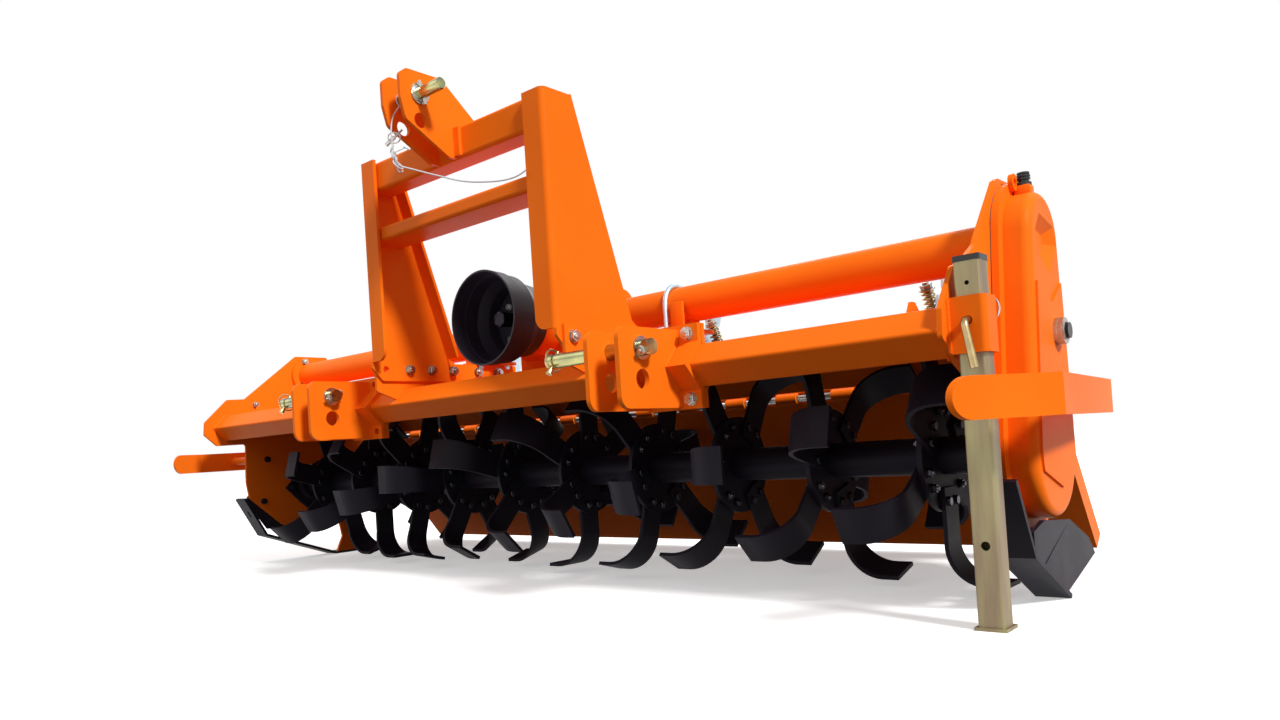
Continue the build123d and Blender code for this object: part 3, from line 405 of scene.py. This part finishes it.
# ---------------------------------------------------------------- bolts of the frame
def add_frame_bolts():
    """Bolts through the A-frame's feet, the lower-link clamps and the side plates."""
    mesh = bmesh.new()
    row, tail = (-347, -277, -207, -137), (-46, 26)
    plain, gear = HITCH_X - UPRIGHT_OUT, HITCH_X + UPRIGHT_OUT
    spans = [(plain - UPRIGHT_T, plain + UPRIGHT_T, y) for y in row[1:]]
    spans += [(gear - UPRIGHT_T, gear + UPRIGHT_T, y) for y in row]
    for y in tail:
        spans += [(plain - UPRIGHT_T, plain, y), (gear, gear + UPRIGHT_T, y)]
    for low, high, y in spans:
        through_bolt(mesh, at(low, y, FOOT_BOLT_Z), at(high, y, FOOT_BOLT_Z), 14)
    for x in (HITCH_X - LINK_OUT, HITCH_X + LINK_OUT, HITCH_X + LINK_OUT + 65):
        for z in (512.9, 391.1):
            through_bolt(mesh, at(x, CLAMP_BACK, z), at(x, CLAMP_FRONT, z), 14, 5)
    piece(mesh, "frame_bolts", ZINC)

    mesh = bmesh.new()
    for y, z in around(3, 50, 0.9):
        start = at(-PLATE_OUT, AXLE_Y + y, AXLE_Z + z)
        through_bolt(mesh, start, start + X * (PLATE_OUT - PLATE_IN + FLANGE_T) * MM, 12, 4)
    for y, z in around(8, 64, 0.5):
        bolt_end(mesh, at(PLATE_IN - FLANGE_T, AXLE_Y + y, AXLE_Z + z), -X, 11, 3)
    for y, z in around(6, 53):
        for x, way in ((7, -X), (225, X)):
            bolt_end(mesh, at(x, AXLE_Y + y, AXLE_Z + z), way, 9)
    bolt_end(mesh, at(-PLATE_IN, -180, 526), X, 12, 4)
    bolt_end(mesh, at(-PLATE_OUT, -180, 526), -X, 12)
    for side in (-1, 1):
        toe_x = side * (PLATE_OUT + 26)
        through_bolt(mesh, at(toe_x, -176, 186), at(toe_x, -196, 174), 9, 3)
    piece(mesh, "flange_bolts", ZINC)


def add_black_bolts():
    """Black bolts of the bearings and of the plain side plate."""
    mesh = bmesh.new()
    for y, z in ((-151, 345), (-171, 207)):
        bolt_end(mesh, at(-PLATE_IN, y, z), X, 11, 3)
        bolt_end(mesh, at(-PLATE_OUT, y, z), -X, 11)
    for y, z in ((-75, 247), (38, 317), (76, 277), (62, 203), (-5, 177)):
        bolt_end(mesh, at(-PLATE_IN + FLANGE_T, y, z), X, 11, 3)
    for y, z in around(6, 52, 0.25):
        bolt_end(mesh, at(1126, y, ROTOR_Z + z), -X, 9)
    piece(mesh, "bearing_bolts", BLACK)


def add_tine_bolts():
    """Two bolts through the root of each tine, with the nuts behind the disc."""
    mesh = bmesh.new()
    for wheel in range(10):
        x = FIRST_WHEEL_X + WHEEL_PITCH * wheel
        for k in range(6):
            side = 1 if k % 2 else -1
            turn = math.radians(FIRST_TURN + WHEEL_LEAD * wheel + 60 * k)
            out = Vector((0, -math.sin(turn), math.cos(turn)))
            across = Vector((0, math.cos(turn), math.sin(turn)))
            for sideways in (-TINE_BOLT_HALF, TINE_BOLT_HALF):
                foot = at(x, 0, ROTOR_Z) + (out * TINE_BOLT_R + across * sideways) * MM
                bolt_end(mesh, foot + X * side * 13 * MM, X * side, 10, washer=False)
                bolt_end(mesh, foot - X * side * 5 * MM, -X * side, 10, 4)
    piece(mesh, "tine_bolts", BLACKENED, "tined_reel")


# ---------------------------------------------------------------- hitch pins
def add_linch_pin(mesh, place, lean, r):
    """A linch pin through a hitch pin of radius r, with its sprung ring round the end."""
    lean = Vector(lean).normalized()
    round_block(mesh, place - lean * (r + 9) * MM, lean, 4.5, 2 * r + 17, 12)
    round_block(mesh, place - lean * (r + 16) * MM, lean, 7, 10, 10, 6)
    loop(mesh, place + X * -2 * MM + lean * 2 * MM, X + 0.2 * lean, r + 8, 2.2)


def add_hitch_pins():
    """Linch pins, washers, cross bolts and the pins of the top link."""
    mesh = bmesh.new()
    for side in (-1, 1):
        free = HITCH_X + side * LINK_OUT - EAR_OUT - PIN_FREE
        add_linch_pin(mesh, at(free + 14, *LINK_PIN), (0, 0.55, 0.83), LINK_PIN_R)
    piece(mesh, "linch_pins", YELLOW_ZINC)

    mesh = bmesh.new()
    for side in (-1, 1):
        ear = at(HITCH_X + side * LINK_OUT + EAR_OUT, *LINK_PIN)
        short = ear + X * 14 * MM
        lean = Vector((0, 0.93, 0.37)).normalized()
        bolt_end(mesh, short + lean * 14 * MM, lean, 11, washer=False)
        bolt_end(mesh, short - lean * 14 * MM, -lean, 10, 7, washer=False)
        collar(mesh, ear, X, 15.2, 22, 3)
    for way in (X, -X):
        lug = at(HITCH_X, *TOP_PIN) + way * LUG_OUT * MM
        collar(mesh, lug, way, TOP_PIN_R, 23, 4)
        collar(mesh, lug + way * 4 * MM, way, TOP_PIN_R, 18, 3)
    round_block(mesh, at(HITCH_X + 46, TOP_PIN[0] + 7, TOP_PIN[1] - 24), (0, -0.28, 1), 3.5, 50, 10)
    round_block(mesh, at(HITCH_X - 44, TOP_PIN[0], TOP_PIN[1] - 20), Z, 2.5, 40, 10)
    piece(mesh, "pin_fittings", ZINC)


def add_lanyard():
    """The thin wire that ties the top link's pin and its linch pin to the gear-side upright."""
    wire = 1.7
    route = (
        (101, -480, 1074), (101, -492, 1060), (101, -503, 1040), (100, -507, 1015), (99, -505, 992),
        (97, -502, 970), (98, -500, 952), (101, -494, 942), (108, -476, 938), (122, -455, 932),
        (142, -440, 923), (172, -431, 911), (206, -424, 897), (240, -420, 886), (274, -417, 878),
        (312, -410, 871), (346, -402, 869), (371, -396, 873), (384, -392, 880),
    )
    line = bpy.data.curves.new("lanyard", "CURVE")
    line.dimensions = "3D"
    line.bevel_depth = wire * MM
    line.bevel_resolution = 2
    line.resolution_u = 6
    line.use_fill_caps = True
    run = line.splines.new("NURBS")
    run.points.add(len(route) - 1)
    for point, place in zip(run.points, route):
        point.co = (*at(*place), 1)
    run.order_u = 3
    run.use_endpoint_u = True
    lanyard = bpy.data.objects.new("lanyard", line)
    bpy.context.scene.collection.objects.link(lanyard)
    line.materials.append(WIRE)
    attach(lanyard, "frame")

    mesh = bmesh.new()
    loop(mesh, at(102, *TOP_PIN), (1, 0.2, 0.1), 16, wire)
    loop(mesh, at(98, TOP_PIN[0] - 2, TOP_PIN[1] - 2), (1, -0.1, 0.2), 17, wire)
    for centre, axis, r in (
        ((97, -500, 962), (0.9, 0.5, 0.1), 11), ((100, -499, 950), (0.5, 0.9, 0.2), 10),
        ((103, -496, 942), (0.8, 0.2, 0.6), 12), ((93, -502, 978), (0.6, 0.7, -0.3), 8),
    ):
        loop(mesh, at(*centre), axis, r, wire)
    bent_rod(mesh, at(99, -502, 968), (0.35, 0.75, 0.45), 1.5, [(30,), (6, X, -60), (14,)], 8)
    bent_rod(mesh, at(100, -500, 946), (-0.3, 0.5, -0.6), 1.5, [(18,), (6, X, 80), (10,)], 8)
    piece(mesh, "lanyard_loops", WIRE)
    mesh = bmesh.new()
    hang, head, head_length = Vector((20, 30, 35)).normalized(), at(80, -507, 988), 26
    round_block(mesh, head, hang, 4.6, head_length, 12)
    round_block(mesh, head + hang * head_length * MM, hang, 3.0, 24, 10, 2)
    loop(mesh, at(92, -494, 1004), (0.7, -0.6, 0.2), 13, 1.5)
    piece(mesh, "spare_linch_pin", ZINC)


# ---------------------------------------------------------------- parking leg's pin
def add_leg_pin():
    """The bent pin through the leg's sleeve, with the ring clip behind it."""
    mesh = bmesh.new()
    bent_rod(mesh, at(1207, -236, 465), -Y, 6, [(72,), (12, (1, 0, 0.16), 90), (62,)], 14)
    piece(mesh, "leg_pin", YELLOW_ZINC)
    mesh = bmesh.new()
    loop(mesh, at(1215, -241, 484), (0.12, 1, 0), 20, 1.8)
    round_block(mesh, at(1207, -241, 454), Z, 2.2, 24, 10)
    piece(mesh, "leg_pin_clip", ZINC)


# ---------------------------------------------------------------- sprung rods
def add_springs():
    """A coil spring on each rod in place of its plain sleeve, and the nut over it."""
    bracket = at(0, 262, 505)
    steps = 16 * COIL_TURNS
    for i in range(1, 5):
        foot = PLACES[f"rod_{i}_swing"]
        seat = Vector((foot.x, bracket.y, bracket.z))
        up = (seat - foot).normalized()
        mesh = bmesh.new()
        made = bmesh.ops.create_circle(
            mesh, cap_ends=True, segments=8, radius=COIL_WIRE * MM,
            matrix=Matrix.Translation((COIL_R * MM, 0, 0)) @ Matrix.Rotation(math.radians(90), 4, "X"),
        )
        edges = {edge for vert in made["verts"] for edge in vert.link_edges}
        grown = bmesh.ops.spin(
            mesh, geom=made["verts"] + list(edges), cent=(0, 0, 0), axis=Z, angle=COIL_TURNS * math.tau,
            steps=steps, dvec=Z * COIL_LENGTH * MM / steps,
        )["geom_last"]
        bmesh.ops.contextual_create(mesh, geom=rim(corners_of(grown)))
        bmesh.ops.transform(mesh, matrix=standing(seat + up * 10 * MM, up), verts=mesh.verts)
        coil = piece(mesh, f"coil_spring_{i}", YELLOW_ZINC, f"rod_{i}")
        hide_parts(f"rod_spring_{i}")
        mesh = bmesh.new()
        bolt_end(mesh, seat + up * 110 * MM, up, 15, washer=False)
        round_block(mesh, foot - X * 23 * MM, -X, 2.2, 6, 8)
        piece(mesh, f"rod_nut_{i}", ZINC, f"rod_{i}")


# ---------------------------------------------------------------- gearbox and gear case
def add_gearbox_fittings():
    """Covers, bolts and the breather of the central gearbox, and the screws of the shield."""
    mesh = bmesh.new()
    box(mesh, at(HITCH_X - 62, AXLE_Y - 74, 708), at(HITCH_X + 62, AXLE_Y + 74, 716), 3)
    round_block(mesh, at(HITCH_X, AXLE_Y + 119, AXLE_Z - 8), Y, 62, 8, 40)
    round_block(mesh, at(HITCH_X, AXLE_Y + 126, AXLE_Z - 8), Y, 40, 8, 32, 34)
    piece(mesh, "gearbox_covers", ORANGE)
    mesh = bmesh.new()
    for x in (-52, 52):
        for y in (-64, 0, 64):
            bolt_end(mesh, at(HITCH_X + x, AXLE_Y + y, 716), Z, 9)
    for x, z in around(6, 51):
        bolt_end(mesh, at(HITCH_X + x, AXLE_Y + 127, AXLE_Z - 8 + z), Y, 8)
    for x, z in around(4, 56, 0.5):
        bolt_end(mesh, at(HITCH_X + x, -174, AXLE_Z + z), -Y, 9)
    piece(mesh, "gearbox_bolts", ZINC)
    mesh = bmesh.new()
    round_block(mesh, at(HITCH_X, AXLE_Y - 20, 715), Z, 9, 10, 16)
    round_block(mesh, at(HITCH_X, AXLE_Y - 20, 725), Z, 12, 8, 16, 10)
    piece(mesh, "gearbox_breather", BLACK_PLASTIC)


def add_gear_case_fittings():
    """The filler's neck and ribbed cap, the lifting eye and the level plug's hexagon and seal."""
    foot = at(1208, AXLE_Y, 704)
    mesh = bmesh.new()
    box(mesh, foot - Vector((14, 14, 0)) * MM, foot + Vector((13, 13, 17)) * MM, 2.5)
    collar(mesh, at(PLATE_OUT + 14, -6, 726), X, 7, 15, 8)
    piece(mesh, "filler_neck", ORANGE)
    mesh = bmesh.new()
    height = 17
    for r, depth in ((13, 5), (9, 5), (11.5, 3), (9, 2), (11.5, 3), (9, 2), (10.5, 3)):
        round_block(mesh, foot + Z * height * MM, Z, r, depth, 20)
        height += depth
    cap = piece(mesh, "filler_cap", BLACK_PLASTIC)
    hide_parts("oil_filler")

    mesh = bmesh.new()
    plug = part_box("level_plug")[1]
    seat = Vector((plug.x - 11.5 * MM, ROTOR.y + 30 * MM, 461 * MM))
    for r, foot, depth in ((15, 10.5, 2), (12, 12.5, 2), (14, 14.5, 2)):
        round_block(mesh, seat + X * foot * MM, X, r, depth, 24)
    piece(mesh, "plug_dial", BLACK_PLASTIC)
    mesh = bmesh.new()
    collar(mesh, seat, X, 19.2, 24, 8, 6)
    collar(mesh, seat, X, 15, 23, 10, 32)
    piece(mesh, "plug_nut", ZINC)


def add_axle_clamps():
    """U-bolts that hold the axle tubes to the A-frame's mount plates, and their saddles."""
    bolt_half, saddle_z = 47.5, 558
    mesh = bmesh.new()
    for side in (-1, 1):
        x = HITCH_X + side * 324
        moves = [(77,), (bolt_half, -X, 180), (77,)]
        bent_rod(mesh, at(x, AXLE_Y - bolt_half, saddle_z - 10), Z, 6, moves, 14)
        for y in (-bolt_half, bolt_half):
            bolt_end(mesh, at(x, AXLE_Y + y, saddle_z), -Z, 12)
    piece(mesh, "axle_u_bolts", PALE_ZINC)
    mesh = bmesh.new()
    for side in (-1, 1):
        near, far = sorted((HITCH_X + side * 298, HITCH_X + side * 376))
        box(mesh, at(near, AXLE_Y - 65, saddle_z), at(far, AXLE_Y + 65, saddle_z + 9), 1.5)
        box(mesh, at(near + 4, AXLE_Y - 16, 566), at(far - 4, AXLE_Y + 16, 586), 2)
        near, far = sorted((HITCH_X + side * 340, HITCH_X + side * 376))
        box(mesh, at(near, AXLE_Y - 54, 566), at(far, AXLE_Y - 46, 626), 3)
    piece(mesh, "axle_saddles", ORANGE)


def add_gussets():
    """Small gussets between the beam and the hood's front sheet, one near each side plate."""
    mesh = bmesh.new()
    for x in (1084, -1084):
        corners = [at(x, -244, 481), at(x, -178, 489), at(x, -206, 517), at(x, -220, 517)]
        face = mesh.faces.new([mesh.verts.new(corner) for corner in corners])
        grown = bmesh.ops.extrude_face_region(mesh, geom=[face])["geom"]
        bmesh.ops.translate(mesh, verts=corners_of(grown), vec=X * 6 * MM)
    piece(mesh, "hood_gussets", ORANGE)


def add_hinge_strip():
    """The curved strip on the tailboard that closes the slit behind the hinge rod."""
    mesh = bmesh.new()
    hinge = PLACES["tailboard_swing"]
    end, r_in, r_out = 1150, 13.6, 15.6
    first, sweep = math.radians(-55), math.radians(140)
    low = Y * math.cos(first) + Z * math.sin(first)
    section = ((-end, r_in), (end, r_in), (end, r_out), (-end, r_out))
    face = mesh.faces.new([mesh.verts.new(hinge + (X * x + low * r) * MM) for x, r in section])
    bmesh.ops.spin(
        mesh, geom=[face, *face.edges, *face.verts], cent=hinge, axis=X, angle=sweep, steps=14,
    )
    piece(mesh, "hinge_strip", ORANGE, "tailboard")


def add_welds():
    """Weld beads of the sleeve, the clevis ears, the rails and the guard bars' stubs."""
    mesh = bmesh.new()
    for y in (-304, -246):
        weld(mesh, at(PLATE_OUT + 1, y, 418), at(PLATE_OUT + 1, y, 500))
    clamp = [(-297, 522), (-297, 500), (-340, 452), (-297, 404), (-297, 378)]
    for side in (-1, 1):
        for x in (-EAR_OUT, EAR_OUT):
            line = [at(HITCH_X + side * LINK_OUT + x, y, z) for y, z in clamp]
            for start, end in zip(line, line[1:]):
                weld(mesh, start, end, 2.2)
        for z, high, deep in ((967, 70, 64), (845, 34, 96)):
            x = HITCH_X + side * (UPRIGHT_OUT - 8.5)
            for edge_z in (z, z + high):
                weld(mesh, at(x, -370, edge_z), at(x, -370 + deep, edge_z), 2.5)
        for y in (-190, 150):
            loop(mesh, at(side * (PLATE_OUT + 1), y, GUARD_Z), X, 14, 2.6, 8, 24)
        corner = [(-285, 494.4), (-327.4, 452), (-285, 409.6)]
        line = [at(side * (PLATE_IN - 1), y, z) for y, z in corner]
        for start, end in zip(line, line[1:]):
            weld(mesh, start, end, 2.6)
        x = HITCH_X + side * (LUG_OUT + 0.5)
        weld(mesh, at(x, -371, 1037), at(x, -308, 1037), 2.5)
    piece(mesh, "weld_beads", ORANGE)


# ---------------------------------------------------------------- studio
def show_paper(owner, shader, paper):
    """White paper where the camera looks straight at it, and the plain shader for all else."""
    tree = owner.node_tree
    rays = tree.nodes.new("ShaderNodeLightPath")
    pick = tree.nodes.new("ShaderNodeMixShader")
    seen = rays.outputs["Is Camera Ray"]
    for kind in ("Is Glossy Ray", "Is Transmission Ray"):
        either = tree.nodes.new("ShaderNodeMath")
        either.operation = "MAXIMUM"
        tree.links.new(seen, either.inputs[0])
        tree.links.new(rays.outputs[kind], either.inputs[1])
        seen = either.outputs[0]
    tree.links.new(seen, pick.inputs["Fac"])
    tree.links.new(shader, pick.inputs[1])
    tree.links.new(paper, pick.inputs[2])
    sink = next(node for node in tree.nodes if node.type in ("OUTPUT_MATERIAL", "OUTPUT_WORLD"))
    tree.links.new(pick.outputs["Shader"], sink.inputs["Surface"])


def add_studio():
    """The floor, a white surround, a sun and three soft lamps."""
    mesh = bmesh.new()
    bmesh.ops.create_grid(mesh, x_segments=1, y_segments=1, size=40)
    data = bpy.data.meshes.new("floor")
    mesh.to_mesh(data)
    mesh.free()
    floor = bpy.data.objects.new("floor", data)
    bpy.context.scene.collection.objects.link(floor)
    material, shader = new_material("studio_floor")
    colour = ramp(material, noise(material, 0.8), 0.3, 0.7, (0.09, 0.09, 0.09), (0.10, 0.10, 0.10))
    material.node_tree.links.new(colour, shader.inputs["Base Color"])
    shader.inputs["Roughness"].default_value = 0.9
    white = add_node(material, "ShaderNodeBsdfDiffuse", Color=(0.92, 0.92, 0.92, 1))
    glow = add_node(material, "ShaderNodeEmission", Strength=0.42)
    paper = add_node(material, "ShaderNodeAddShader")
    material.node_tree.links.new(white.outputs[0], paper.inputs[0])
    material.node_tree.links.new(glow.outputs[0], paper.inputs[1])
    show_paper(material, shader.outputs[0], paper.outputs[0])
    floor.data.materials.append(material)

    world = bpy.data.worlds.new("studio")
    bpy.context.scene.world = world
    world.use_nodes = True
    back = world.node_tree.nodes["Background"]
    back.inputs["Color"].default_value = (1, 1, 1, 1)
    back.inputs["Strength"].default_value = 0.40
    seen = world.node_tree.nodes.new("ShaderNodeBackground")
    seen.inputs["Color"].default_value = (1, 1, 1, 1)
    show_paper(world, back.outputs[0], seen.outputs[0])

    lamps = (  # name, kind, place, size, strength
        ("key", "SUN", (7.2, -1.9, 6.6), 0.16, 3.3),
        ("front", "AREA", (0.4, -4.8, 3.0), 3.0, 22),
        ("left", "AREA", (-4.2, -2.4, 3.0), 3.0, 40),
        ("back", "AREA", (-1.0, 4.5, 3.6), 3.0, 90),
    )
    for name, kind, place, size, strength in lamps:
        lamp = bpy.data.lights.new(name, kind)
        if kind == "SUN":
            lamp.angle = size
        else:
            lamp.size = size
        lamp.energy = strength
        holder = bpy.data.objects.new(name, lamp)
        aim = Vector((0, 0, 0.5)) - Vector(place)
        turned = aim.to_track_quat("-Z", "Y").to_matrix().to_4x4()
        holder.matrix_world = Matrix.Translation(place) @ turned
        bpy.context.scene.collection.objects.link(holder)


add_camera()
dress_nodes()
add_frame_bolts()
add_black_bolts()
add_tine_bolts()
add_hitch_pins()
add_lanyard()
add_leg_pin()
add_springs()
add_gearbox_fittings()
add_gear_case_fittings()
add_axle_clamps()
add_gussets()
add_hinge_strip()
add_welds()
add_studio()

bpy.context.scene.view_settings.view_transform = "Standard"
